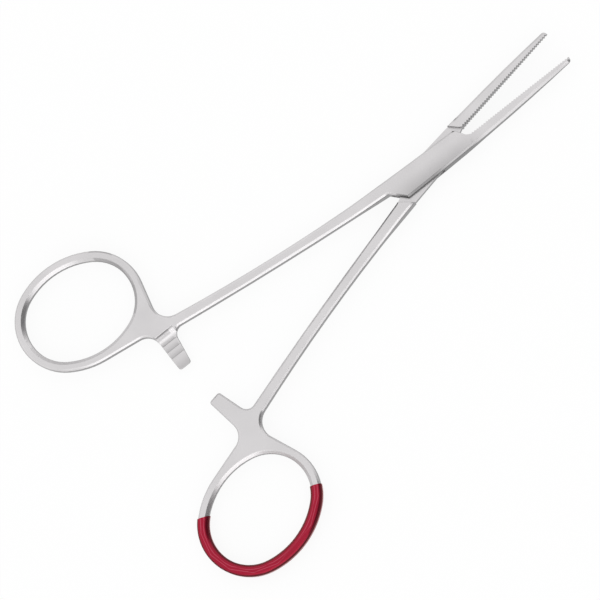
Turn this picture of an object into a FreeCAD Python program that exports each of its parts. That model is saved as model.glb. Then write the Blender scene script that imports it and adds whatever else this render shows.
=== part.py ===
import FreeCAD, Part
import Sketcher
import math
import os

# Straight mosquito forceps with a box lock, lying flat.
# +X runs along the middle line toward the jaws, +Y toward the box half's finger ring, +Z up.
# The origin is on the pin's axis, at the level of the box's underside.
# Each half is drawn closed, in the middle plane of its thickness, and then turned open.

SIZES = {
    # Pose
    "rest_half_angle": 5.24,
    "open_stop_angle": 62.0,
    # Box
    "box_half_thickness": 1.8,
    "box_half_width": 2.73,
    "cheek_thickness": 1.15,
    "tongue_play": 0.03,
    "cheek_front_outer": 7.95,
    "cheek_front_width": 2.53,
    "cheek_front_inner": 9.25,
    "cheek_front_rise": 0.75,
    "cheek_front_radius": 1.6,
    "crotch_reach": 10.3,
    "cheek_rear_outer": 7.5,
    "cheek_rear_width": 2.81,
    "cheek_rear_inner": 10.4,
    "cheek_rear_rise": 0.35,
    "wall_margin": 0.6,
    "wall_play": 0.15,
    "shoulder_gap": 0.3,
    "pin_radius": 1.1,
    "pin_play": 0.03,
    # Jaws
    "tip_reach": 35.8,
    "jaw_base_gap": 0.2,
    "jaw_tip_gap": 0.02,
    "jaw_tip_width": 0.95,
    "jaw_outer_radius": 537.0,
    "nose_slope": 0.15,
    "nose_radius": 0.75,
    "jaw_root": 13.5,
    "jaw_root_half_thickness": 1.25,
    "jaw_tip_half_thickness": 0.65,
    "tooth_pitch": 0.6,
    "tooth_depth": 0.22,
    "tooth_count": 42,
    # Shank
    "shank_half_thickness": 1.2,
    "swell_rear": 20.0,
    "swell_front": 9.0,
    "box_top_front": 7.5,
    "shank_inner_end": 62.2,
    "shank_inner_rise": 6.17,
    "shank_inner_radius": 900.0,
    "edge_bevel": 0.45,
    # Finger ring
    "ring_x": 75.29,
    "ring_y": 21.27,
    "ring_turn": -6.05,
    "ring_half_length": 12.07,
    "ring_half_width": 9.45,
    "ring_end_share": 0.91,
    "ring_band": 2.1,
    "finger_bevel": 0.7,
    "ring_leave_angle": -7.0,
    "web_outer_run": 9.8,
    "web_outer_radius": 3.65,
    "web_rear_lean": 1.7,
    "web_rear_run": 10.9,
    "web_rear_radius": 3.3,
    # Ratchet arm
    "ratchet_rear": 66.1,
    "ratchet_front": 63.25,
    "ratchet_reach": 1.35,
    "ratchet_corner": 0.6,
    "ratchet_root_radius": 1.9,
    "ratchet_step": 4.6,
    "ratchet_ramp": 2.3,
    "ramp_radius": 3.6,
    "catch_pitch": 1.55,
    "catch_height": 0.4,
    "catch_play": 0.05,
    # Red dip on one ring
    "coat_thickness": 0.15,
    "coat_front_x": 63.7,
    "coat_front_y": 26.65,
    "coat_rear_x": 84.3,
    "coat_rear_y": 13.6,
}

BEVEL_ANGLE = 45.0


class Size:
    """A length or angle, known as a number and as the sheet formula that drives it."""

    def __init__(self, value, formula):
        self.value = value
        self.formula = formula

    def combine(self, other, sign, value):
        return Size(value, "(%s %s %s)" % (self.formula, sign, plain(other).formula))

    def __add__(self, other):
        return self.combine(other, "+", self.value + plain(other).value)

    def __sub__(self, other):
        return self.combine(other, "-", self.value - plain(other).value)

    def __mul__(self, other):
        return self.combine(other, "*", self.value * plain(other).value)

    def __truediv__(self, other):
        return self.combine(other, "/", self.value / plain(other).value)

    def __neg__(self):
        return Size(-self.value, "(0 - %s)" % self.formula)


def plain(number):
    """Any plain number as a Size."""
    return number if isinstance(number, Size) else Size(float(number), repr(float(number)))


def size(name):
    """A driving size from the sheet."""
    return Size(float(SIZES[name]), "Sizes.%s" % name)


def sine(angle):
    return Size(math.sin(math.radians(angle.value)), "sin(%s)" % angle.formula)


def cosine(angle):
    return Size(math.cos(math.radians(angle.value)), "cos(%s)" % angle.formula)


def tangent(angle):
    return Size(math.tan(math.radians(angle.value)), "tan(%s)" % angle.formula)


def fill_sheet(doc):
    sheet = doc.addObject("Spreadsheet::Sheet", "Sizes")
    for row, (alias, value) in enumerate(SIZES.items(), 1):
        sheet.set("A%d" % row, alias)
        sheet.set("B%d" % row, str(value))
        sheet.setAlias("B%d" % row, alias)
    doc.recompute()


def new_body(doc, name):
    body = doc.addObject("PartDesign::Body", name)
    body.Label = name
    return body


def new_sketch(body, name, plane):
    """A sketch on one of the body's own origin planes."""
    sketch = body.newObject("Sketcher::SketchObject", name)
    support = [item for item in body.Origin.OriginFeatures if item.Role == plane][0]
    sketch.AttachmentSupport = [(support, "")]
    sketch.MapMode = "FlatFace"
    return sketch


def bind(sketch, constraint, formula):
    """Adds a constraint to the sketch and ties its value to the sheet."""
    index = sketch.addConstraint(constraint)
    sketch.setExpression("Constraints[%d]" % index, formula)


def arc_between(start, end, radius):
    """The arc from start to end that bends left for a positive radius, right for a negative one."""
    chord = end - start
    middle = (start + end) * 0.5
    rise = math.sqrt(radius * radius - chord.Length * chord.Length / 4.0)
    left = FreeCAD.Vector(-chord.y, chord.x, 0).normalize()
    centre = middle + left * math.copysign(rise, radius)
    first, last = (start, end) if radius > 0 else (end, start)
    angles = [math.atan2(p.y - centre.y, p.x - centre.x) for p in (first, last)]
    circle = Part.Circle(centre, FreeCAD.Vector(0, 0, 1), abs(radius))
    return Part.ArcOfCircle(circle, angles[0], angles[1])


def draw_outline(sketch, corners, side=1):
    """Draws a closed outline. A corner is (x, y) before a line or (x, y, radius) before an arc.

    A fourth value marks an arc whose radius is a first guess and follows from a smooth end.
    """
    points = [FreeCAD.Vector(plain(c[0]).value, side * plain(c[1]).value, 0) for c in corners]
    starts = []
    ends = []
    for k, corner in enumerate(corners):
        start, end = points[k], points[(k + 1) % len(points)]
        radius = corner[2] if len(corner) > 2 else None
        if radius is None:
            piece = sketch.addGeometry(Part.LineSegment(start, end))
        else:
            piece = sketch.addGeometry(arc_between(start, end, side * radius.value))
        forward = radius is None or side * radius.value > 0
        starts.append((piece, 1 if forward else 2))
        ends.append((piece, 2 if forward else 1))
        if radius is not None and len(corner) == 3:
            bind(sketch, Sketcher.Constraint("Radius", piece, abs(radius.value)), bend_formula(radius))
    for k, corner in enumerate(corners):
        piece, place = starts[k]
        before, before_place = ends[k - 1]
        joint = "Tangent" if len(corners[k - 1]) == 4 else "Coincident"
        sketch.addConstraint(Sketcher.Constraint(joint, before, before_place, piece, place))
        x, y = plain(corner[0]), plain(corner[1])
        y = y if side > 0 else -y
        bind(sketch, Sketcher.Constraint("DistanceX", -1, 1, piece, place, x.value), x.formula)
        bind(sketch, Sketcher.Constraint("DistanceY", -1, 1, piece, place, y.value), y.formula)


def bend_formula(radius):
    return radius.formula if radius.value > 0 else (-radius).formula


def ring_place(along, across):
    """A point given along and across the finger ring's long axis."""
    turn = size("ring_turn")
    x = along * cosine(turn) - across * sine(turn) - size("ring_x")
    y = along * sine(turn) + across * cosine(turn) + size("ring_y")
    return x, y


def ring_shape(offset):
    """The oval ring's half length and width, end and side radii and joint, moved out by an offset."""
    width = size("ring_half_width")
    end = width * size("ring_end_share")
    reach = size("ring_half_length") - end
    side = (reach * reach + width * width - end * end) / ((width - end) * 2.0)
    joint_along = reach + (end + offset) * reach / (side - end)
    joint_across = (end + offset) * (side - width) / (side - end)
    return reach, width + offset, end + offset, side + offset, joint_along, joint_across


def oval_corners(offset):
    """The whole ring outline as four arcs."""
    end, side, along, across = ring_shape(offset)[2:]
    return [
        (*ring_place(along, -across), -side),
        (*ring_place(-along, -across), -end),
        (*ring_place(-along, across), -side),
        (*ring_place(along, across), -end),
    ]


def handle_corners():
    """From the shank's inner side round the ratchet arm and the ring to the shank's outer side."""
    reach, width, end, side, along, across = ring_shape(size("ring_band"))
    leave = size("ring_leave_angle")
    leave_along = reach + end * cosine(leave)
    leave_across = end * sine(leave)
    run = size("web_outer_run")
    lean = size("web_rear_lean")
    rear_along = -side * sine(lean)
    rear_across = side - width - side * cosine(lean)
    rear_run = size("web_rear_run")
    return [
        (-size("shank_inner_end"), size("shank_inner_rise")),
        (-size("ratchet_front"), -size("ratchet_reach")),
        (-size("ratchet_rear"), -size("ratchet_reach")),
        ring_place(rear_along + rear_run * cosine(lean), rear_across - rear_run * sine(lean)),
        (*ring_place(rear_along, rear_across), -side),
        (*ring_place(-along, -across), -end),
        (*ring_place(-along, across), -side),
        (*ring_place(along, across), -end),
        ring_place(leave_along, leave_across),
        (*ring_place(leave_along + run * sine(leave), leave_across - run * cosine(leave)),
         size("shank_inner_radius") / 2.0, "smooth"),
        (plain(0), size("box_half_width"), -size("jaw_outer_radius")),
    ]


def jaw_corners():
    """From the jaw's root along its gripping face and round the tip."""
    slope = size("nose_slope")
    return [
        (size("crotch_reach"), -size("jaw_base_gap")),
        (size("tip_reach"), -size("jaw_tip_gap")),
        (size("tip_reach") - slope, -size("jaw_tip_width"), -size("jaw_outer_radius")),
    ]


def web_corner():
    """How far ahead of the pin the box wall starts, so that the halves stop at the open angle."""
    return size("box_half_width") * tangent(size("open_stop_angle") / 2.0)


def half_corners():
    """The whole outline that both halves are forged to, before the box is cut."""
    front = size("cheek_front_radius")
    return jaw_corners() + [
        (-size("cheek_rear_outer"), -size("cheek_rear_width")),
        (-size("cheek_rear_inner"), size("cheek_rear_rise"), -size("shank_inner_radius")),
    ] + handle_corners() + [
        (size("cheek_front_outer"), size("cheek_front_width")),
        (size("cheek_front_inner"), size("cheek_front_rise"), front),
    ]


def swing(run, rise):
    """Radius of each of the two equal arcs of a smooth step."""
    return (run * run + rise * rise) / (rise * 4.0)


def thickness_corners():
    """Everything above the half's thickness, seen from the side."""
    shank, box = size("shank_half_thickness"), size("box_half_thickness")
    root, tip = size("jaw_root_half_thickness"), size("jaw_tip_half_thickness")
    rear, front = -size("swell_rear"), -size("swell_front")
    top, fall = size("box_top_front"), size("jaw_root")
    above = box * 3.0
    behind = -size("ring_x") - size("ring_half_length") * 2.0
    beyond = size("tip_reach") + size("jaw_tip_width")
    rear_swing = swing(front - rear, box - shank)
    front_swing = swing(fall - top, box - root)
    taper = beyond - fall
    drop = root - tip
    return [
        (behind, shank),
        (rear, shank, rear_swing),
        ((rear + front) / 2.0, (shank + box) / 2.0, -rear_swing),
        (front, box),
        (top, box, -front_swing),
        ((top + fall) / 2.0, (box + root) / 2.0, front_swing),
        (fall, root, -((taper * taper + drop * drop) / (drop * 2.0))),
        (beyond, tip),
        (beyond, above),
        (behind, above),
    ]


def cut_through(body, name, sketch):
    """Cuts the sketch through everything, both ways."""
    pocket = body.newObject("PartDesign::Pocket", name)
    pocket.Profile = sketch
    pocket.SideType = "Symmetric"
    pocket.Type = "ThroughAll"
    return pocket


def upright_edges(shape, corners):
    """Names of the upright edges at the given corners."""
    names = []
    for k, edge in enumerate(shape.Edges, 1):
        ends = [v.Point for v in edge.Vertexes]
        if len(ends) != 2 or (ends[0] - ends[1]).cross(FreeCAD.Vector(0, 0, 1)).Length > 1e-6:
            continue
        if any(math.hypot(ends[0].x - x, ends[0].y - y) < 1e-3 for x, y in corners):
            names.append("Edge%d" % k)
    return names


def loop_edges(shape, inner):
    """Names of the edges round the holes of the level faces, or else round those faces' outside."""
    names = set()
    for face in shape.Faces:
        level = isinstance(face.Surface, Part.Plane) and abs(face.Surface.Axis.z) > 0.999
        wires = [wire for wire in face.Wires if wire.isSame(face.OuterWire) != inner] if level else []
        for wire in wires:
            for k, edge in enumerate(shape.Edges, 1):
                if any(edge.isSame(other) for other in wire.Edges):
                    names.add("Edge%d" % k)
    return sorted(names)


def bevel(doc, body, name, names, width):
    """Bevels the named edges of the body's last feature at 45 degrees."""
    before = body.Tip
    chamfer = body.newObject("PartDesign::Chamfer", name)
    chamfer.Base = (before, names)
    chamfer.Size = width.value
    chamfer.setExpression("Size", width.formula)
    doc.recompute()


def round_corners(doc, body, name, radius, corners):
    """Rounds the outline's corners where the given points lie."""
    doc.recompute()
    spots = [(plain(c[0]).value, plain(c[1]).value) for c in corners]
    before = body.Tip
    fillet = body.newObject("PartDesign::Fillet", name)
    fillet.Base = (before, upright_edges(before.Shape, spots))
    fillet.Radius = radius.value
    fillet.setExpression("Radius", radius.formula)
    doc.recompute()


def rim_edges(shape):
    """Names of the outline's top and bottom edges, apart from the finger hole, gripping face and mouth."""
    hole = loop_edges(shape, True)
    names = []
    for k, edge in enumerate(shape.Edges, 1):
        places = [edge.FirstParameter, edge.LastParameter, (edge.FirstParameter + edge.LastParameter) / 2.0]
        start, end, middle = [edge.valueAt(place) for place in places]
        across = abs(start.x - end.x) < 1e-3 and abs(start.z - end.z) < 1e-3
        upright = (start - end).cross(FreeCAD.Vector(0, 0, 1)).Length < 1e-3
        mouth = SIZES["cheek_front_outer"] < middle.x < SIZES["tip_reach"] - SIZES["nose_slope"]
        facing = mouth and middle.y > -SIZES["jaw_base_gap"] - 0.02
        if not (across or upright or facing or "Edge%d" % k in hole):
            names.append("Edge%d" % k)
    return names


def build_blank(doc):
    """The forging both halves start as: its outline at the true thickness, with its edges bevelled."""
    body = new_body(doc, "blank")
    outline = new_sketch(body, "half_outline", "XY_Plane")
    draw_outline(outline, half_corners())
    pad = body.newObject("PartDesign::Pad", "half_pad")
    pad.Profile = outline
    pad.SideType = "Symmetric"
    pad.Length = SIZES["box_half_thickness"] * 4
    pad.setExpression("Length", "Sizes.box_half_thickness * 4")
    hole = new_sketch(body, "finger_hole", "XY_Plane")
    draw_outline(hole, oval_corners(plain(0)))
    cut_through(body, "finger_hole_cut", hole)
    profile = new_sketch(body, "thickness", "XZ_Plane")
    draw_outline(profile, thickness_corners(), 1)
    draw_outline(profile, thickness_corners(), -1)
    cut_through(body, "thickness_cut", profile)
    handle = handle_corners()
    round_corners(doc, body, "root_bend", size("ratchet_root_radius"), [handle[0]])
    round_corners(doc, body, "arm_end", size("ratchet_corner"), handle[1:3])
    round_corners(doc, body, "rear_web", size("web_rear_radius"), [handle[3]])
    round_corners(doc, body, "outer_web", size("web_outer_radius"), [handle[9]])
    round_corners(doc, body, "nose", size("nose_radius"), [jaw_corners()[2]])
    bevel(doc, body, "rim_bevel", rim_edges(body.Tip.Shape), size("edge_bevel"))
    bevel(doc, body, "finger_bevel", loop_edges(body.Tip.Shape, True), size("finger_bevel"))
    return body


def mirror_blank(doc, blank):
    """The same forging turned over, for the half that lies the other way round."""
    mirror = doc.addObject("Part::Mirroring", "mirrored_blank")
    mirror.Source = blank
    mirror.Normal = FreeCAD.Vector(0, 1, 0)
    doc.recompute()
    return mirror


def half_body(doc, name, blank):
    """A body that is cut from a blank."""
    body = new_body(doc, name)
    body.BaseFeature = blank
    doc.recompute()
    return body


def wall_line(x):
    """The box wall's height at a place along the box."""
    reach = size("crotch_reach") - size("wall_margin")
    return (x - reach) * size("box_half_width") / (reach - web_corner())


def cut_slot(body):
    """The window between the cheeks that the other half's tongue passes through."""
    width, corner = size("box_half_width"), web_corner()
    out = size("crotch_reach") + width
    sketch = new_sketch(body, "slot_outline", "XY_Plane")
    draw_outline(sketch, [
        (corner, -width),
        (corner, -width * 2.0),
        (-out, -width * 2.0),
        (-out, -wall_line(out)),
        (-corner, width),
        (-corner, width * 2.0),
        (out, width * 2.0),
        (out, wall_line(out)),
    ])
    gap = (size("box_half_thickness") - size("cheek_thickness")) * 2.0
    slot = body.newObject("PartDesign::Pocket", "slot")
    slot.Profile = sketch
    slot.SideType = "Symmetric"
    slot.Length = gap.value
    slot.setExpression("Length", gap.formula)


def cut_tongue(body):
    """Thins the other half through the box, above and below, to the tongue between the cheeks."""
    gap = size("shoulder_gap")
    outer, inner = -size("cheek_rear_outer"), -size("cheek_rear_inner")
    low, high = size("cheek_rear_width"), size("cheek_rear_rise")
    out = size("crotch_reach")
    corners = [
        (inner - gap, -size("box_half_width") * 2.0),
        (size("cheek_front_outer") + gap, -size("box_half_width") * 2.0),
        (size("cheek_front_outer") + gap, -size("cheek_front_width")),
        (size("cheek_front_inner") + gap, -size("cheek_front_rise")),
        (out, plain(0)),
        (out, low * 2.0 + high),
        (outer * 2.0 - inner - gap, low * 2.0 + high),
        (inner - gap, -high),
    ]
    height = size("box_half_thickness") - size("cheek_thickness") - size("tongue_play")
    for name, sign in (("upper", 1), ("lower", -1)):
        sketch = new_sketch(body, name + "_shoulders", "XY_Plane")
        sketch.setExpression("AttachmentOffset.Base.z", (height * float(sign)).formula)
        draw_outline(sketch, corners, -1)
        recess = body.newObject("PartDesign::Pocket", name + "_recess")
        recess.Profile = sketch
        recess.Type = "ThroughAll"
        recess.Reversed = sign > 0


def cut_tongue_corners(body):
    """Cuts the tongue's two far corners away, so that it clears the box walls as it swings."""
    play, width = web_corner() - size("wall_play"), size("box_half_width")
    out, gap = size("crotch_reach"), size("jaw_base_gap")
    inner, high = size("cheek_rear_inner"), size("cheek_rear_rise")
    sketch = new_sketch(body, "tongue_corners", "XY_Plane")
    draw_outline(sketch, [
        (play, width),
        (out - size("shoulder_gap"), -gap),
        (out, -gap),
        (out, width * 2.0),
        (play, width * 2.0),
    ], -1)
    draw_outline(sketch, [
        (-play, -width),
        (-inner, high),
        (-inner, -width * 2.0),
        (-play, -width * 2.0),
    ], -1)
    cut_through(body, "tongue_corner_cuts", sketch)


def cut_bore(body, name, radius):
    sketch = new_sketch(body, name + "_circle", "XY_Plane")
    circle = Part.Circle(FreeCAD.Vector(0, 0, 0), FreeCAD.Vector(0, 0, 1), radius.value)
    edge = sketch.addGeometry(circle)
    sketch.addConstraint(Sketcher.Constraint("Coincident", edge, 3, -1, 1))
    bind(sketch, Sketcher.Constraint("Radius", edge, radius.value), radius.formula)
    cut_through(body, name, sketch)


def cut_serrations(doc, body, side):
    """Fine V grooves straight across the gripping face, from the jaw's root to its tip."""
    root, reach = size("crotch_reach"), size("tip_reach")
    base, tip = size("jaw_base_gap"), size("jaw_tip_gap")
    pitch, depth = size("tooth_pitch"), size("tooth_depth")
    sketch = new_sketch(body, "groove", "XY_Plane")
    lean = math.degrees(math.atan((base.value - tip.value) / (reach.value - root.value)))
    turn = "atan((%s) / (%s)) * %d" % ((base - tip).formula, (reach - root).formula, side)
    sketch.AttachmentOffset = FreeCAD.Placement(
        FreeCAD.Vector(root.value, -side * base.value, 0), FreeCAD.Rotation(FreeCAD.Vector(0, 0, 1), side * lean))
    sketch.setExpression("AttachmentOffset.Base.x", root.formula)
    sketch.setExpression("AttachmentOffset.Base.y", (-base * float(side)).formula)
    sketch.setExpression("AttachmentOffset.Rotation.Angle", turn)
    draw_outline(sketch, [
        (pitch * 0.05, plain(0)),
        (pitch * 0.5, -depth),
        (pitch * 0.95, plain(0)),
        (pitch * 0.95, pitch),
        (pitch * 0.05, pitch),
    ], side)
    groove = cut_through(body, "groove_cut", sketch)
    row = body.newObject("PartDesign::LinearPattern", "groove_row")
    row.Originals = [groove]
    row.Direction = (sketch, ["H_Axis"])
    row.Mode = "Spacing"
    row.Offset = pitch.value
    row.setExpression("Offset", pitch.formula)
    row.Occurrences = SIZES["tooth_count"]
    row.setExpression("Occurrences", "Sizes.tooth_count")
    body.Tip = row
    doc.recompute()


def cut_catches(body, side):
    """The ratchet: a hollow ramp down the arm, then three saw teeth that meet the other half's."""
    step, pitch = size("ratchet_step"), size("catch_pitch")
    crest = -size("catch_play")
    valley = crest - size("catch_height")
    end = -size("ratchet_reach")
    above = size("box_half_thickness") * 2.0
    top = step + size("ratchet_ramp")
    corners = [
        (top, above),
        (top, size("shank_half_thickness"), -size("ramp_radius") * float(side)),
        (step, valley),
        (step, crest),
        (step - pitch, valley),
        (step - pitch, crest),
        (step - pitch * 2.0, valley),
        (step - pitch * 2.0, crest),
        (end, valley),
        (end * 2.0, valley),
        (end * 2.0, above),
    ]
    corners = [(corner[0] * float(side), *corner[1:]) for corner in corners]
    sketch = new_sketch(body, "catch_profile", "YZ_Plane")
    middle = (size("ratchet_rear") + size("ratchet_front")) / 2.0
    sketch.setExpression("AttachmentOffset.Base.z", (-middle).formula)
    draw_outline(sketch, corners, side)
    width = (size("ratchet_rear") - size("ratchet_front")) * 2.0
    catches = body.newObject("PartDesign::Pocket", "catches")
    catches.Profile = sketch
    catches.SideType = "Symmetric"
    catches.Length = width.value
    catches.setExpression("Length", width.formula)


def turn_open(body, side):
    """Turns a half by its share of the opening and lifts it to rest on the box's underside."""
    body.Placement = FreeCAD.Placement(
        FreeCAD.Vector(0, 0, SIZES["box_half_thickness"]),
        FreeCAD.Rotation(FreeCAD.Vector(0, 0, 1), -side * SIZES["rest_half_angle"]))
    body.setExpression("Placement.Base.z", "Sizes.box_half_thickness")
    body.setExpression("Placement.Rotation.Angle", "%d * Sizes.rest_half_angle" % -side)


def build_female(doc, blank):
    """The box half: two cheeks joined by walls ahead of and behind the window."""
    body = half_body(doc, "female_half", blank)
    cut_slot(body)
    cut_bore(body, "pin_seat", size("pin_radius"))
    cut_catches(body, 1)
    cut_serrations(doc, body, 1)
    turn_open(body, 1)
    return body


def build_male(doc, blank):
    """The tongue half, which passes through the box."""
    body = half_body(doc, "male_half", mirror_blank(doc, blank))
    cut_tongue(body)
    cut_tongue_corners(body)
    cut_bore(body, "pin_bore", size("pin_radius") + size("pin_play"))
    cut_catches(body, -1)
    cut_serrations(doc, body, -1)
    turn_open(body, -1)
    return body


def build_pin(doc):
    """The box-lock pin, ground flush with both cheeks."""
    body = new_body(doc, "box_lock_pin")
    sketch = new_sketch(body, "pin_circle", "XY_Plane")
    edge = sketch.addGeometry(Part.Circle(FreeCAD.Vector(0, 0, 0), FreeCAD.Vector(0, 0, 1), SIZES["pin_radius"]))
    sketch.addConstraint(Sketcher.Constraint("Coincident", edge, 3, -1, 1))
    bind(sketch, Sketcher.Constraint("Radius", edge, SIZES["pin_radius"]), "Sizes.pin_radius")
    pad = body.newObject("PartDesign::Pad", "pin_length")
    pad.Profile = sketch
    pad.Length = SIZES["box_half_thickness"] * 2
    pad.setExpression("Length", "Sizes.box_half_thickness * 2")
    doc.recompute()
    return body


def build_coat(doc, male):
    """The thin red dip over the outer part of the tongue half's ring, up to a straight dip line."""
    thickness = size("coat_thickness")
    blank = new_body(doc, "coat_blank")
    band = new_sketch(blank, "coat_band", "XY_Plane")
    draw_outline(band, oval_corners(size("ring_band") + thickness), -1)
    draw_outline(band, oval_corners(-thickness), -1)
    pad = blank.newObject("PartDesign::Pad", "coat_pad")
    pad.Profile = band
    pad.SideType = "Symmetric"
    height = (size("shank_half_thickness") + thickness) * 2.0
    pad.Length = height.value
    pad.setExpression("Length", height.formula)
    doc.recompute()
    growth = thickness - thickness * tangent(plain(BEVEL_ANGLE) / 2.0)
    bevel(doc, blank, "coat_rim_edges", loop_edges(pad.Shape, False), size("edge_bevel") + growth)
    bevel(doc, blank, "coat_finger_edges", loop_edges(blank.Tip.Shape, True), size("finger_bevel") + growth)
    front_x, front_y = -size("coat_front_x"), size("coat_front_y")
    rear_x, rear_y = -size("coat_rear_x"), size("coat_rear_y")
    bare = new_sketch(blank, "dip_line", "XY_Plane")
    draw_outline(bare, [
        (front_x * 1.5 - rear_x * 0.5, front_y * 1.5 - rear_y * 0.5),
        (rear_x * 1.5 - front_x * 0.5, rear_y * 1.5 - front_y * 0.5),
        (rear_x * 1.5 - front_x * 0.5, -rear_y),
        (front_x * 1.5 - rear_x * 0.5, -rear_y),
    ], -1)
    cut_through(blank, "bare_ring", bare)
    turn_open(blank, -1)
    doc.recompute()
    coat = doc.addObject("Part::Cut", "ring_coating")
    coat.Label = "ring_coating"
    coat.Base = blank
    coat.Tool = male
    doc.recompute()
    return coat


def main():
    doc = FreeCAD.newDocument("forceps")
    fill_sheet(doc)
    blank = build_blank(doc)
    male = build_male(doc, blank)
    nodes = [build_female(doc, blank), male, build_pin(doc), build_coat(doc, male)]
    doc.recompute()
    for item in doc.Objects:
        if "Invalid" in item.State or "Error" in item.State:
            raise RuntimeError("%s did not build: %s" % (item.Name, item.State))
    os.makedirs("parts", exist_ok=True)
    for node in nodes:
        if node.Shape.isNull() or not node.Shape.isValid():
            raise RuntimeError("%s has no valid shape" % node.Label)
        print(node.Label, round(node.Shape.Volume, 2), len(node.Shape.Solids), node.Shape.BoundBox)
        node.Shape.exportStep("parts/%s.step" % node.Label)


main()
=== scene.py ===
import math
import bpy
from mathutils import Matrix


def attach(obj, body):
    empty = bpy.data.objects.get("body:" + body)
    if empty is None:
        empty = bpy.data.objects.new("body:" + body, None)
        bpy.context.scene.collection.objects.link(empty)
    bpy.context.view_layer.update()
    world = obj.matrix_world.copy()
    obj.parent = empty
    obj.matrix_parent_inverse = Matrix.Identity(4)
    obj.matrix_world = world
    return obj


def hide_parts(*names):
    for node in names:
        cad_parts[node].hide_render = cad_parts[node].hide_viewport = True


bl_info = {
    "name": "Hemostat Forceps Finish",
    "version": (1, 0, 0),
    "blender": (4, 5, 0),
    "location": "View3D > Sidebar > Forceps",
    "description": "Dresses a box-lock forceps in satin steel and a red dipped ring, on a pale stage",
    "category": "Object",
}

import bpy
from mathutils import Matrix, Vector

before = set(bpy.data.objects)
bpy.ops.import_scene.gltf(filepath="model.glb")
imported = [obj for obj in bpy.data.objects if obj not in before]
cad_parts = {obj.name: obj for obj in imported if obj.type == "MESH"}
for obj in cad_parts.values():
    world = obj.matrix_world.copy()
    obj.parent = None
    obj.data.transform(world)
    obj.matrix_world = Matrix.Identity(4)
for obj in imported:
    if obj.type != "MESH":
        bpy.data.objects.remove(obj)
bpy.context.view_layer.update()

MM = 0.001

# Cleaning, rounding and smoothing of the meshes
MERGE_WITHIN = 0.002 * MM
FLAT_WITHIN = math.radians(0.5)
ROUNDED_FROM = math.radians(25.0)
STEEL_SMOOTH_TO = math.radians(40.0)
DIP_SMOOTH_TO = math.radians(60.0)

# Grain of the polish, drawn out along the forceps, and the broader tone under it
GRAIN_STRETCH = (0.25, 1.0, 1.0)
STEEL_GRAIN_SCALE = 900.0
DIP_GRAIN_SCALE = 300.0
TONE_SCALE = 120.0
STEEL_MOTTLE = 0.10
DIP_MOTTLE = 0.15

# Spans of levelness over which a painted shade or a painted highlight streak comes or goes, from 0 on an
# upright face to 1 on a level one
SIDE_SPAN = (0.30, 0.85)
RIM_SPAN = (0.90, 0.99)
DIP_SPAN = (0.45, 0.97)
STREAK_START = (0.950, 0.964)
STREAK_END = (0.970, 0.984)

# Spans of place over which a painted shade comes or goes, in the box half's own frame
BOX_REAR = (-14.0 * MM, -5.0 * MM)
BOX_FRONT = (5.0 * MM, 15.0 * MM)
BOX_ACROSS = (-2.9 * MM, 1.2 * MM)
RIM_ALONG = (-1.0 * MM, 4.0 * MM)
RIM_ACROSS = (-0.9 * MM, -0.5 * MM)
RATCHET_REAR = (-66.6 * MM, -66.3 * MM)
RATCHET_FRONT = (-63.1 * MM, -62.8 * MM)
TEETH_HEIGHT = (1.35 * MM, 1.70 * MM)
RAMP_FOOT = (1.75 * MM, 2.1 * MM)
RAMP_TOP = (2.85 * MM, 2.98 * MM)

# Shares of the steel's tone that its painted shades take
SIDES_SHADE = 0.70
BOX_SHADE = 0.27
RIM_SHADE = 0.55
RIM_SHADE_AHEAD = 0.22
TEETH_SHADE = 0.22
RAMP_SHADE = 0.28

# What the dip keeps of its tone on its edges under painted shade, and how far its painted highlight streaks
# show
DIP_EDGE_TONE = 0.16
STREAK_SHARE = 0.6

# The surround: a dark card to one side, a brighter horizon, and a bright strip in front
CARD_TOWARD = (0.68, -0.62, 0.35)
CARD_SPAN = (0.78, 0.94)
CARD_LIGHT = 0.20
HORIZON_SPAN = (0.12, 0.42)
HORIZON_LIGHT = 1.25
STRIP_FOOT = (0.44, 0.54)
STRIP_TOP = (0.64, 0.74)
STRIP_FRONT = (-0.50, -0.30)
STRIP_LIGHT = 0.8


class SteelSettings(bpy.types.PropertyGroup):
    """Finish of the bare steel."""

    color: bpy.props.FloatVectorProperty(
        name="Steel", description="Colour of the bare steel", subtype="COLOR", size=3,
        default=(0.66, 0.645, 0.652), min=0.0, max=1.0)
    roughness: bpy.props.FloatProperty(
        name="Satin", description="How far the polish is satin", default=0.30, min=0.0, max=1.0)
    grain: bpy.props.FloatProperty(
        name="Grain", description="Depth of the polishing grain", default=0.0015 * MM, unit="LENGTH")
    edge_round: bpy.props.FloatProperty(
        name="Edge rounding", description="Rounding left by polishing on the crisp edges",
        default=0.10 * MM, unit="LENGTH")
    edge_steps: bpy.props.IntProperty(
        name="Rounding steps", description="Flats that make up the rounding of an edge", default=3, min=1)
    teeth_from: bpy.props.FloatProperty(
        name="Teeth", description="Where along the forceps the toothed jaws start, which keep their edges",
        default=9.0 * MM, unit="LENGTH")
    pin_reach: bpy.props.FloatProperty(
        name="Pin reach", description="Distance from the axis within which edges stay flush with the pin",
        default=1.4 * MM, unit="LENGTH")
    window_reach: bpy.props.FloatProperty(
        name="Window reach",
        description="Distance along the forceps within which the window's edges stay crisp",
        default=10.5 * MM, unit="LENGTH")
    window_half: bpy.props.FloatProperty(
        name="Window half height", description="Just over half the height of the box's window",
        default=0.7 * MM, unit="LENGTH")
    mid_height: bpy.props.FloatProperty(
        name="Middle", description="Height of the forceps' middle plane", default=1.8 * MM, unit="LENGTH")
    box_turn: bpy.props.FloatProperty(
        name="Box turn", description="Turn of the box half at rest", subtype="ANGLE",
        default=math.radians(5.24))


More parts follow.
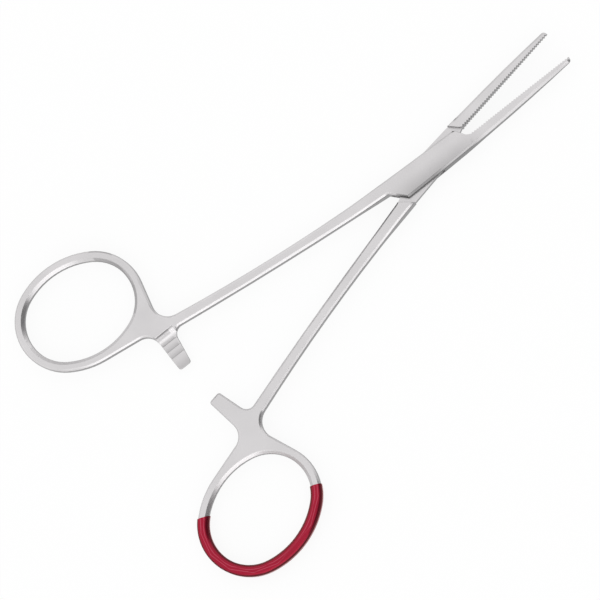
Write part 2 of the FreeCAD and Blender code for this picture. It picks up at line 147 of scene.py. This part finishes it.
class CoatSettings(bpy.types.PropertyGroup):
    """Finish of the red dip."""

    color: bpy.props.FloatVectorProperty(
        name="Red", description="Colour of the dip", subtype="COLOR", size=3,
        default=(0.36, 0.008, 0.032), min=0.0, max=1.0)
    # Painted highlight: the colour of the light streaks drawn on the dip
    streak: bpy.props.FloatVectorProperty(
        name="Streak", description="Colour of the light streaks along the dip", subtype="COLOR", size=3,
        default=(0.58, 0.12, 0.18), min=0.0, max=1.0)
    roughness: bpy.props.FloatProperty(
        name="Gloss", description="How rough the dip's surface is", default=0.17, min=0.0, max=1.0)
    grain: bpy.props.FloatProperty(
        name="Grain", description="Depth of the dip's unevenness", default=0.005 * MM, unit="LENGTH")


class StageSettings(bpy.types.PropertyGroup):
    """Floor, lamp and camera."""

    floor_size: bpy.props.FloatProperty(
        name="Floor", description="Side of the floor", default=4.0, unit="LENGTH")
    floor_color: bpy.props.FloatVectorProperty(
        name="Floor colour", description="Colour of the floor", subtype="COLOR", size=3,
        default=(0.96, 0.96, 0.96), min=0.0, max=1.0)
    floor_glow: bpy.props.FloatProperty(
        name="Floor glow", description="How far the floor is seen evenly white, without the shadows on it",
        default=0.90, min=0.0, max=1.0)
    lamp_place: bpy.props.FloatVectorProperty(
        name="Lamp", description="Place of the soft lamp in front", size=3, subtype="TRANSLATION",
        default=(-0.3, -1.4, 0.32))
    lamp_width: bpy.props.FloatProperty(
        name="Lamp width", description="Width of the soft lamp", default=1.4, unit="LENGTH")
    lamp_height: bpy.props.FloatProperty(
        name="Lamp height", description="Height of the soft lamp", default=0.3, unit="LENGTH")
    lamp_power: bpy.props.FloatProperty(
        name="Lamp power", description="Power of the soft lamp", default=1.6, unit="POWER")
    aim: bpy.props.FloatVectorProperty(
        name="Aim", description="Point in the middle of the picture", size=3, subtype="TRANSLATION",
        default=(-38.14 * MM, -1.84 * MM, 1.8 * MM))
    distance: bpy.props.FloatProperty(
        name="Distance", description="Camera's distance from the aim", default=1.0112, unit="LENGTH")
    azimuth: bpy.props.FloatProperty(
        name="Azimuth", description="Camera's turn round the object", subtype="ANGLE",
        default=math.radians(8.983))
    elevation: bpy.props.FloatProperty(
        name="Elevation", description="Camera's height above the horizon", subtype="ANGLE",
        default=math.radians(76.953))
    roll: bpy.props.FloatProperty(
        name="Roll", description="Camera's roll about its own axis", subtype="ANGLE",
        default=math.radians(-51.943))
    lens: bpy.props.FloatProperty(
        name="Lens", description="Focal length on the sensor below", default=297.3, unit="CAMERA")
    sensor: bpy.props.FloatProperty(
        name="Sensor", description="Width of the camera's sensor", default=36.0, unit="CAMERA")
    near: bpy.props.FloatProperty(
        name="Near", description="Nearest distance that the camera shows", default=0.05, unit="LENGTH")
    far: bpy.props.FloatProperty(
        name="Far", description="Farthest distance that the camera shows", default=20.0, unit="LENGTH")


def settings(name):
    return getattr(bpy.context.scene, "forceps_" + name)


def deselect():
    if bpy.context.object and bpy.context.object.mode != "OBJECT":
        bpy.ops.object.mode_set(mode="OBJECT")
    bpy.ops.object.select_all(action="DESELECT")


def activate(piece):
    deselect()
    piece.select_set(True)
    bpy.context.view_layer.objects.active = piece


def merged_copy(node, name):
    """A copy of a CAD node's mesh with its points merged and its flat faces joined."""
    piece = bpy.data.objects.new(name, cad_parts[node].data.copy())
    piece.data.name = name
    bpy.context.scene.collection.objects.link(piece)
    activate(piece)
    bpy.ops.object.mode_set(mode="EDIT")
    bpy.ops.mesh.select_all(action="SELECT")
    bpy.ops.mesh.customdata_custom_splitnormals_clear()
    bpy.ops.mesh.remove_doubles(threshold=MERGE_WITHIN)
    bpy.ops.mesh.dissolve_limited(angle_limit=FLAT_WITHIN)
    bpy.ops.object.mode_set(mode="OBJECT")
    return piece


def edge_angles(mesh):
    """Angle between the two faces at each outward edge. Hollow corners are left out."""
    faces = {}
    for polygon in mesh.polygons:
        for key in polygon.edge_keys:
            faces.setdefault(key, []).append(polygon)
    angles = {}
    for edge in mesh.edges:
        found = faces.get(edge.key, [])
        if len(found) == 2:
            first, second = found
            start = mesh.vertices[edge.vertices[0]].co
            outward = (second.center - start).dot(first.normal) < 0.0
            if outward:
                angles[edge.index] = first.normal.angle(second.normal, 0.0)
    return angles


def stays_crisp(ends, chosen):
    """Whether an edge is on the teeth, at the pin's seat or inside the box's window."""
    teeth = min(end.x for end in ends) > chosen.teeth_from
    seat = max(end.to_2d().length for end in ends) < chosen.pin_reach
    along = max(abs(end.x) for end in ends) < chosen.window_reach
    inside = max(abs(end.z - chosen.mid_height) for end in ends) < chosen.window_half
    return teeth or seat or (along and inside)


def round_edges(piece):
    """Rounds the piece's outward edges as polishing does, apart from those that stay crisp."""
    chosen = settings("steel")
    mesh = piece.data
    weights = mesh.attributes.new("bevel_weight_edge", "FLOAT", "EDGE")
    for index, angle in edge_angles(mesh).items():
        ends = [mesh.vertices[v].co for v in mesh.edges[index].vertices]
        if angle > ROUNDED_FROM and not stays_crisp(ends, chosen):
            weights.data[index].value = 1.0
    activate(piece)
    modifier = piece.modifiers.new("Rounding", "BEVEL")
    modifier.limit_method = "WEIGHT"
    modifier.offset_type = "OFFSET"
    modifier.width = chosen.edge_round
    modifier.segments = chosen.edge_steps
    modifier.use_clamp_overlap = False
    modifier.harden_normals = False
    bpy.ops.object.modifier_apply(modifier=modifier.name)


def smooth_steel(piece):
    """Smooth shading that keeps the flat faces flat."""
    activate(piece)
    bpy.ops.object.shade_smooth_by_angle(angle=STEEL_SMOOTH_TO)
    modifier = piece.modifiers.new("Flat faces", "WEIGHTED_NORMAL")
    modifier.keep_sharp = True
    bpy.ops.object.modifier_apply(modifier=modifier.name)


def feed(tree, node, sources):
    """Gives each named or numbered input of a node an output or a plain value."""
    for key, source in sources.items():
        if isinstance(source, bpy.types.NodeSocket):
            tree.links.new(source, node.inputs[key])
        else:
            node.inputs[key].default_value = source


def calculate(tree, operation, *sources):
    """A math node's result from outputs or plain numbers."""
    node = tree.nodes.new("ShaderNodeMath")
    node.operation = operation
    feed(tree, node, dict(enumerate(sources)))
    return node.outputs[0]


def product(tree, *factors):
    """The outputs or plain numbers multiplied together."""
    total = factors[0]
    for factor in factors[1:]:
        total = calculate(tree, "MULTIPLY", total, factor)
    return total


def without(tree, share):
    """What is left when a share is taken away."""
    return calculate(tree, "SUBTRACT", 1.0, share)


def fade(tree, value, span, start, end):
    """A smooth step from start to end while the value goes through the span."""
    node = tree.nodes.new("ShaderNodeMapRange")
    node.interpolation_type = "SMOOTHSTEP"
    low, high = span
    feed(tree, node, {"Value": value, "From Min": low, "From Max": high, "To Min": start, "To Max": end})
    return node.outputs["Result"]


def axes(tree, vector):
    """The X, Y and Z outputs of a vector."""
    node = tree.nodes.new("ShaderNodeSeparateXYZ")
    feed(tree, node, {0: vector})
    return node.outputs


def levelness(tree, normal):
    """From 0 on an upright face to 1 on a level one."""
    return calculate(tree, "ABSOLUTE", axes(tree, normal)["Z"])


def noise(tree, vector, scale, detail):
    node = tree.nodes.new("ShaderNodeTexNoise")
    feed(tree, node, {"Vector": vector, "Scale": scale, "Detail": detail})
    return node.outputs["Fac"]


def mixed(tree, factor, first, second, blend="MIX"):
    """Two colours mixed by a factor."""
    node = tree.nodes.new("ShaderNodeMix")
    node.data_type = "RGBA"
    node.blend_type = blend
    feed(tree, node, {"Factor": factor, "A": first, "B": second})
    return node.outputs["Result"]


def mottled(tree, tone, color, spread):
    """The colour, darker or lighter by up to the spread as the tone goes from 0 to 1."""
    ends = []
    for share in (1.0 - spread, 1.0 + spread):
        ends.append((*[min(1.0, part * share) for part in color], 1.0))
    return mixed(tree, tone, *ends)


def bumped(tree, height, depth):
    node = tree.nodes.new("ShaderNodeBump")
    feed(tree, node, {"Height": height, "Distance": depth})
    return node.outputs["Normal"]


def new_material(name):
    material = bpy.data.materials.new(name)
    material.use_nodes = True
    return material, material.node_tree


def new_group(name, vectors, numbers, results):
    """A node group with its inputs and outputs, and its tree's two end nodes."""
    tree = bpy.data.node_groups.new(name, "ShaderNodeTree")
    for title in vectors:
        tree.interface.new_socket(name=title, in_out="INPUT", socket_type="NodeSocketVector")
    for title, default in numbers.items():
        socket = tree.interface.new_socket(name=title, in_out="INPUT", socket_type="NodeSocketFloat")
        socket.default_value = default
    for title in results:
        tree.interface.new_socket(name=title, in_out="OUTPUT", socket_type="NodeSocketFloat")
    return tree, tree.nodes.new("NodeGroupInput").outputs, tree.nodes.new("NodeGroupOutput")


def place_group(tree, group, sources):
    """Places a node group in a tree and returns its outputs."""
    node = tree.nodes.new("ShaderNodeGroup")
    node.node_tree = group
    feed(tree, node, sources)
    return node.outputs


def grain_group():
    """Node group: fine polishing grain as a roughness, a tone and a height."""
    found = bpy.data.node_groups.get("polishing_grain")
    if found:
        return found
    tree, given, result = new_group(
        "polishing_grain", ("Vector",), {"Roughness": 0.3, "Spread": 0.06, "Scale": STEEL_GRAIN_SCALE},
        ("Roughness", "Tone", "Height"))
    stretch = tree.nodes.new("ShaderNodeVectorMath")
    stretch.operation = "MULTIPLY"
    feed(tree, stretch, {0: given["Vector"], 1: GRAIN_STRETCH})
    fine = noise(tree, stretch.outputs[0], given["Scale"], detail=4.0)
    broad = noise(tree, given["Vector"], TONE_SCALE, detail=3.0)
    centred = calculate(tree, "SUBTRACT", broad, 0.5)
    roughness = calculate(tree, "MULTIPLY_ADD", centred, given["Spread"], given["Roughness"])
    feed(tree, result, {"Roughness": roughness, "Tone": broad, "Height": fine})
    return tree


def box_shade(tree, place):
    """Painted shade over the front of the box, which fades towards its back and both its ends."""
    rear = fade(tree, place["X"], BOX_REAR, 0.0, 1.0)
    front = fade(tree, place["X"], BOX_FRONT, 1.0, 0.0)
    across = fade(tree, place["Y"], BOX_ACROSS, BOX_SHADE, 0.0)
    return product(tree, rear, front, across)


def rim_shade(tree, place, level):
    """Painted shade on the bevel along the box's lower rim and, fainter, along the jaw's."""
    bevel = fade(tree, level, RIM_SPAN, 1.0, 0.0)
    low = fade(tree, place["Y"], RIM_ACROSS, 1.0, 0.0)
    along = fade(tree, place["X"], RIM_ALONG, RIM_SHADE, RIM_SHADE_AHEAD)
    rear = fade(tree, place["X"], BOX_REAR, 0.0, 1.0)
    return product(tree, bevel, low, along, rear)


def ratchet_shade(tree, place):
    """Painted shade at the feet of the ratchet's teeth and on its ramp."""
    rear = fade(tree, place["X"], RATCHET_REAR, 0.0, 1.0)
    front = fade(tree, place["X"], RATCHET_FRONT, 1.0, 0.0)
    teeth = fade(tree, place["Z"], TEETH_HEIGHT, TEETH_SHADE, 0.0)
    foot = fade(tree, place["Z"], RAMP_FOOT, 0.0, RAMP_SHADE)
    top = fade(tree, place["Z"], RAMP_TOP, 1.0, 0.0)
    depth = calculate(tree, "ADD", teeth, product(tree, foot, top))
    return product(tree, rear, front, depth)


def painted_shading_group():
    """Node group: tone of the faces with painted shade, darker on the sides, the box's front and its rim, and
    in the ratchet.
    """
    found = bpy.data.node_groups.get("painted_shading_tone")
    if found:
        return found
    tree, given, result = new_group(
        "painted_shading_tone", ("Vector", "Normal"), {"Sides": SIDES_SHADE, "Box": 0.0, "Box turn": 0.0}, ("Tone",))
    turned = tree.nodes.new("ShaderNodeVectorRotate")
    turned.rotation_type = "Z_AXIS"
    feed(tree, turned, {"Vector": given["Vector"], "Angle": given["Box turn"]})
    place = axes(tree, turned.outputs[0])
    level = levelness(tree, given["Normal"])
    # Painted shade: upright sides darker than level faces
    sides = product(tree, fade(tree, level, SIDE_SPAN, 1.0, 0.0), given["Sides"])
    # Painted shade over the box's front, on the box half only
    box = product(tree, box_shade(tree, place), given["Box"])
    # Painted shade along the box's lower rim and in the ratchet, then kept to the box half
    painted_rim_ratchet_shade = calculate(tree, "MAXIMUM", rim_shade(tree, place, level), ratchet_shade(tree, place))
    painted_shade_on_box_half = product(tree, painted_rim_ratchet_shade, given["Box"])
    shades = [without(tree, shade) for shade in (sides, box, painted_shade_on_box_half)]
    feed(tree, result, {"Tone": product(tree, *shades)})
    return tree


def steel_material(name, box):
    """Satin-polished stainless steel with a fine grain and painted shade. Box is how far the box half's
    painted shades show.
    """
    found = bpy.data.materials.get(name)
    if found:
        return found
    chosen = settings("steel")
    material, tree = new_material(name)
    place = tree.nodes.new("ShaderNodeTexCoord").outputs
    grain = place_group(tree, grain_group(), {"Vector": place["Object"], "Roughness": chosen.roughness})
    # Painted shade on the sides, the box's front, its rim and the ratchet, multiplied into the steel's colour
    # below
    painted_shading = place_group(tree, painted_shading_group(), {
        "Vector": place["Object"], "Normal": place["Normal"], "Box": box, "Box turn": chosen.box_turn})
    color = mottled(tree, grain["Tone"], chosen.color, STEEL_MOTTLE)
    feed(tree, tree.nodes["Principled BSDF"], {
        "Metallic": 1.0,
        "Base Color": mixed(tree, 1.0, color, painted_shading["Tone"], "MULTIPLY"),
        "Roughness": grain["Roughness"],
        "Normal": bumped(tree, grain["Height"], chosen.grain)})
    return material


def coat_material():
    """Glossy crimson dip with painted highlight streaks, and painted shade where its face turns away from
    above.
    """
    chosen = settings("coat")
    material, tree = new_material("red_dip")
    place = tree.nodes.new("ShaderNodeTexCoord").outputs
    grain = place_group(tree, grain_group(), {
        "Vector": place["Object"], "Roughness": chosen.roughness, "Scale": DIP_GRAIN_SCALE})
    level = levelness(tree, place["Normal"])
    # Painted highlight: light streaks on the top near its rounded border
    start = fade(tree, level, STREAK_START, 0.0, STREAK_SHARE)
    end = fade(tree, level, STREAK_END, 1.0, 0.0)
    color = mottled(tree, grain["Tone"], chosen.color, DIP_MOTTLE)
    streaked = mixed(tree, product(tree, start, end), color, (*chosen.streak, 1.0))
    # Painted shade: darker where the face turns away from above
    edges = fade(tree, level, DIP_SPAN, DIP_EDGE_TONE, 1.0)
    feed(tree, tree.nodes["Principled BSDF"], {
        "Metallic": 0.85,
        "Specular Tint": (0.95, 0.25, 0.30, 1.0),
        "Coat Weight": 0.25,
        "Coat Roughness": 0.05,
        "Base Color": mixed(tree, 1.0, streaked, edges, "MULTIPLY"),
        "Roughness": grain["Roughness"],
        "Normal": bumped(tree, grain["Height"], chosen.grain)})
    return material


def paint(piece, material):
    piece.data.materials.clear()
    piece.data.materials.append(material)


def dress(piece, material, body, node):
    """Gives a finished piece its material and its body, and hides the CAD node that it replaces."""
    paint(piece, material)
    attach(piece, body)
    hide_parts(node)


def build_half(node, name, body, material):
    piece = merged_copy(node, name)
    round_edges(piece)
    smooth_steel(piece)
    dress(piece, material, body, node)


class FORCEPS_OT_box_half(bpy.types.Operator):
    """Dresses the box half in satin steel"""

    bl_idname = "forceps.box_half"
    bl_label = "Box half"

    def execute(self, context):
        build_half("female_half", "box_half_steel", "box_half", steel_material("box_steel", 1.0))
        return {"FINISHED"}


class FORCEPS_OT_tongue_half(bpy.types.Operator):
    """Dresses the tongue half in satin steel"""

    bl_idname = "forceps.tongue_half"
    bl_label = "Tongue half"

    def execute(self, context):
        build_half("male_half", "tongue_half_steel", "tongue_half", steel_material("satin_steel", 0.0))
        return {"FINISHED"}


class FORCEPS_OT_pin(bpy.types.Operator):
    """Dresses the pin, made flush with the box by grinding"""

    bl_idname = "forceps.pin"
    bl_label = "Pin"

    def execute(self, context):
        paint(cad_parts["box_lock_pin"], steel_material("box_steel", 1.0))
        return {"FINISHED"}


class FORCEPS_OT_ring_dip(bpy.types.Operator):
    """Makes the red dip on the tongue half's ring"""

    bl_idname = "forceps.ring_dip"
    bl_label = "Ring dip"

    def execute(self, context):
        piece = merged_copy("ring_coating", "ring_dip")
        bpy.ops.object.shade_smooth_by_angle(angle=DIP_SMOOTH_TO)
        dress(piece, coat_material(), "tongue_half", "ring_coating")
        return {"FINISHED"}


def floor_material():
    """Pale floor. The camera and the steel's reflections see it almost evenly white."""
    chosen = settings("stage")
    material, tree = new_material("pale_floor")
    tree.nodes.remove(tree.nodes["Principled BSDF"])
    diffuse = tree.nodes.new("ShaderNodeBsdfDiffuse")
    feed(tree, diffuse, {"Color": (*chosen.floor_color, 1.0)})
    glow = tree.nodes.new("ShaderNodeEmission")
    path = tree.nodes.new("ShaderNodeLightPath").outputs
    seen = calculate(tree, "MAXIMUM", path["Is Camera Ray"], path["Is Transmission Ray"])
    shown = calculate(tree, "MAXIMUM", seen, path["Is Glossy Ray"])
    mix = tree.nodes.new("ShaderNodeMixShader")
    share = product(tree, shown, chosen.floor_glow)
    feed(tree, mix, {"Fac": share, 1: diffuse.outputs[0], 2: glow.outputs[0]})
    feed(tree, tree.nodes["Material Output"], {"Surface": mix.outputs[0]})
    return material


def build_floor():
    deselect()
    bpy.ops.mesh.primitive_plane_add(size=settings("stage").floor_size, location=(0, 0, 0))
    floor = bpy.context.object
    floor.name = "floor"
    paint(floor, floor_material())


def build_world():
    """Soft white surround: brighter at the horizon, with a strip in front and a dark card to one side."""
    world = bpy.data.worlds.new("studio")
    bpy.context.scene.world = world
    world.use_nodes = True
    tree = world.node_tree
    outlook = tree.nodes.new("ShaderNodeTexCoord").outputs["Generated"]
    toward = tree.nodes.new("ShaderNodeVectorMath")
    toward.operation = "DOT_PRODUCT"
    feed(tree, toward, {0: outlook, 1: Vector(CARD_TOWARD).normalized()})
    card = fade(tree, toward.outputs["Value"], CARD_SPAN, 1.0, CARD_LIGHT)
    place = axes(tree, outlook)
    horizon = fade(tree, place["Z"], HORIZON_SPAN, HORIZON_LIGHT, 1.0)
    foot = fade(tree, place["Z"], STRIP_FOOT, 0.0, STRIP_LIGHT)
    top = fade(tree, place["Z"], STRIP_TOP, 1.0, 0.0)
    front = fade(tree, place["Y"], STRIP_FRONT, 1.0, 0.0)
    bright = calculate(tree, "ADD", horizon, product(tree, foot, top, front))
    feed(tree, tree.nodes["Background"], {
        "Color": (1.0, 1.0, 1.0, 1.0), "Strength": product(tree, card, bright)})


def build_lamp():
    """A soft lamp in front that faces the middle of the forceps."""
    chosen = settings("stage")
    lamp = bpy.data.lights.new("front_strip", "AREA")
    lamp.shape = "RECTANGLE"
    lamp.size = chosen.lamp_width
    lamp.size_y = chosen.lamp_height
    lamp.energy = chosen.lamp_power
    holder = bpy.data.objects.new("front_strip", lamp)
    bpy.context.scene.collection.objects.link(holder)
    holder.location = chosen.lamp_place
    holder.rotation_euler = (holder.location - Vector(chosen.aim)).to_track_quat("Z", "Y").to_euler()


def build_camera():
    """The camera, turned round the aim and rolled as in the photograph."""
    chosen = settings("stage")
    camera = bpy.data.objects.new("camera", bpy.data.cameras.new("camera"))
    bpy.context.scene.collection.objects.link(camera)
    camera.data.sensor_width = chosen.sensor
    camera.data.lens = chosen.lens
    camera.data.clip_start = chosen.near
    camera.data.clip_end = chosen.far
    turn, rise, roll = chosen.azimuth, chosen.elevation, chosen.roll
    back = Vector((math.sin(turn) * math.cos(rise), -math.cos(turn) * math.cos(rise), math.sin(rise)))
    level = Vector((0, 0, 1)).cross(back).normalized()
    across = level * math.cos(roll) + back.cross(level) * math.sin(roll)
    turned = Matrix((across, back.cross(across), back)).transposed().to_4x4()
    camera.matrix_world = Matrix.Translation(Vector(chosen.aim) + back * chosen.distance) @ turned
    bpy.context.scene.camera = camera


class FORCEPS_OT_stage(bpy.types.Operator):
    """Sets the floor, the light and the camera"""

    bl_idname = "forceps.stage"
    bl_label = "Stage"

    def execute(self, context):
        build_floor()
        build_world()
        build_lamp()
        build_camera()
        context.scene.view_settings.view_transform = "Standard"
        return {"FINISHED"}


OPERATORS = (
    FORCEPS_OT_box_half,
    FORCEPS_OT_tongue_half,
    FORCEPS_OT_pin,
    FORCEPS_OT_ring_dip,
    FORCEPS_OT_stage,
)
GROUPS = {"steel": SteelSettings, "coat": CoatSettings, "stage": StageSettings}


class FORCEPS_PT_panel(bpy.types.Panel):
    """Lists the pieces of the forceps"""

    bl_idname = "FORCEPS_PT_panel"
    bl_label = "Forceps"
    bl_space_type = "VIEW_3D"
    bl_region_type = "UI"
    bl_category = "Forceps"

    def draw(self, context):
        for operator in OPERATORS:
            self.layout.operator(operator.bl_idname)


def register():
    for name, group in GROUPS.items():
        bpy.utils.register_class(group)
        setattr(bpy.types.Scene, "forceps_" + name, bpy.props.PointerProperty(type=group))
    for item in (*OPERATORS, FORCEPS_PT_panel):
        bpy.utils.register_class(item)


def unregister():
    for item in (FORCEPS_PT_panel, *reversed(OPERATORS)):
        bpy.utils.unregister_class(item)
    for name, group in GROUPS.items():
        delattr(bpy.types.Scene, "forceps_" + name)
        bpy.utils.unregister_class(group)


def main():
    register()
    bpy.ops.forceps.box_half()
    bpy.ops.forceps.tongue_half()
    bpy.ops.forceps.pin()
    bpy.ops.forceps.ring_dip()
    bpy.ops.forceps.stage()


if __name__ == "__main__":
    main()
